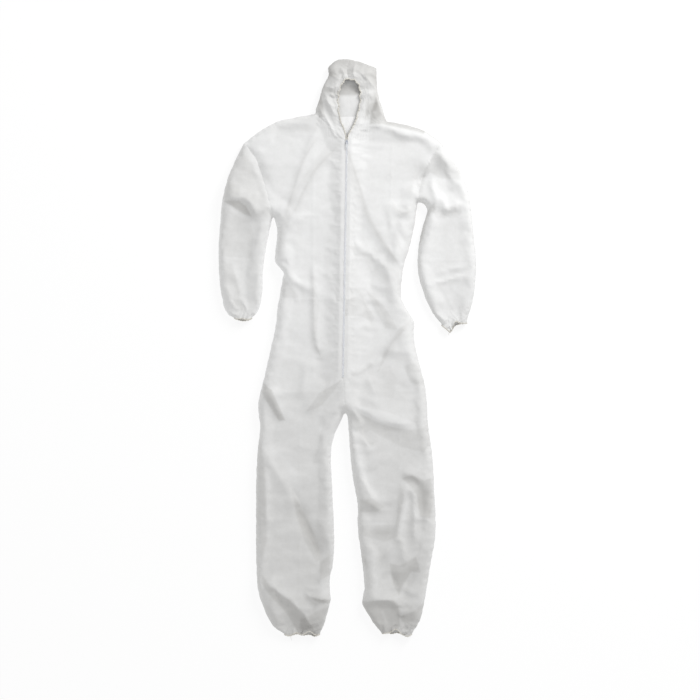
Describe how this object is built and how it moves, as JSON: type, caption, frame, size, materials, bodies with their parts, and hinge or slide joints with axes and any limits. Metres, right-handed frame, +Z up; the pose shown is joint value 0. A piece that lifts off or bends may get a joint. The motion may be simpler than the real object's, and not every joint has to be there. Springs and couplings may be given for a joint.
{
  "type": "chemical protective suit",
  "caption": "Hooded disposable coverall with a front zip, laid flat on its back: gathered wrists, ankles, waist and face, with a hood, sleeves and legs that fold over.",
  "frame": {"origin": "middle of the suit's footprint, on the floor it lies on", "axes": "the suit lies on its back: +X across it towards the wearer's left, +Y up the body towards the hood, +Z up out of the floor"},
  "size_m": [0.822, 1.828, 0.058],
  "materials": {
    "cloth": "matt white nonwoven cloth, point bonded",
    "elastic": "white covered elastic, gathered",
    "zip_tape": "woven white tape",
    "zip_coil": "satin pale grey-blue",
    "zip_metal": "pale grey enamel",
    "label": "blank white satin"
  },
  "bodies": {
    "torso": {"front_panel_right": "cloth", "front_panel_left": "cloth", "back_panel_right": "cloth", "back_panel_left": "cloth", "leg_front_upper_right": "cloth", "leg_front_upper_left": "cloth", "leg_back_upper_right": "cloth", "leg_back_upper_left": "cloth", "sleeve_upper_right": "cloth", "sleeve_upper_left": "cloth", "waist_elastic": "elastic", "neck_label": "label", "zip_tape_right": "zip_tape", "zip_tape_left": "zip_tape", "zip_coil_right": "zip_coil", "zip_coil_left": "zip_coil", "zip_top_stop_right": "zip_metal", "zip_top_stop_left": "zip_metal", "zip_bottom_stop": "zip_metal"},
    "hood": {"hood_panel_right": "cloth", "hood_panel_left": "cloth", "hood_face_elastic": "elastic"},
    "forearm_right": {"sleeve_lower_right": "cloth", "cuff_elastic_right": "elastic"},
    "forearm_left": {"sleeve_lower_left": "cloth", "cuff_elastic_left": "elastic"},
    "shin_right": {"leg_front_lower_right": "cloth", "leg_back_lower_right": "cloth", "ankle_elastic_right": "elastic"},
    "shin_left": {"leg_front_lower_left": "cloth", "leg_back_lower_left": "cloth", "ankle_elastic_left": "elastic"},
    "slider": {"zip_slider": "zip_metal"},
    "pull_tab": {"zip_pull_tab": "zip_metal"}
  },
  "joints": [
    {"name": "hood_fold", "type": "hinge", "parent": "torso", "child": "hood", "pos_m": [0, 0.73, 0.0524], "axis": [1, 0, 0], "range_deg": [0, 165]},
    {"name": "sleeve_fold_right", "type": "hinge", "parent": "torso", "child": "forearm_right", "pos_m": [-0.335, 0.277, 0.0365], "axis": [-1, 0, 0], "range_deg": [0, 170]},
    {"name": "sleeve_fold_left", "type": "hinge", "parent": "torso", "child": "forearm_left", "pos_m": [0.316, 0.277, 0.0365], "axis": [-1, 0, 0], "range_deg": [0, 170]},
    {"name": "leg_fold_right", "type": "hinge", "parent": "torso", "child": "shin_right", "pos_m": [-0.165, -0.542, 0.0525], "axis": [-1, 0, 0], "range_deg": [0, 170]},
    {"name": "leg_fold_left", "type": "hinge", "parent": "torso", "child": "shin_left", "pos_m": [0.155, -0.542, 0.0525], "axis": [-1, 0, 0], "range_deg": [0, 170]},
    {"name": "zip_travel", "type": "slide", "parent": "torso", "child": "slider", "axis": [-0.0161, -0.9999, 0], "range_m": [0, 0.724]},
    {"name": "pull_tab_swing", "type": "hinge", "parent": "slider", "child": "pull_tab", "pos_m": [-0.00217, 0.6445, 0.0563], "axis": [-0.9999, 0.0161, 0], "range_deg": [0, 170]}
  ]
}
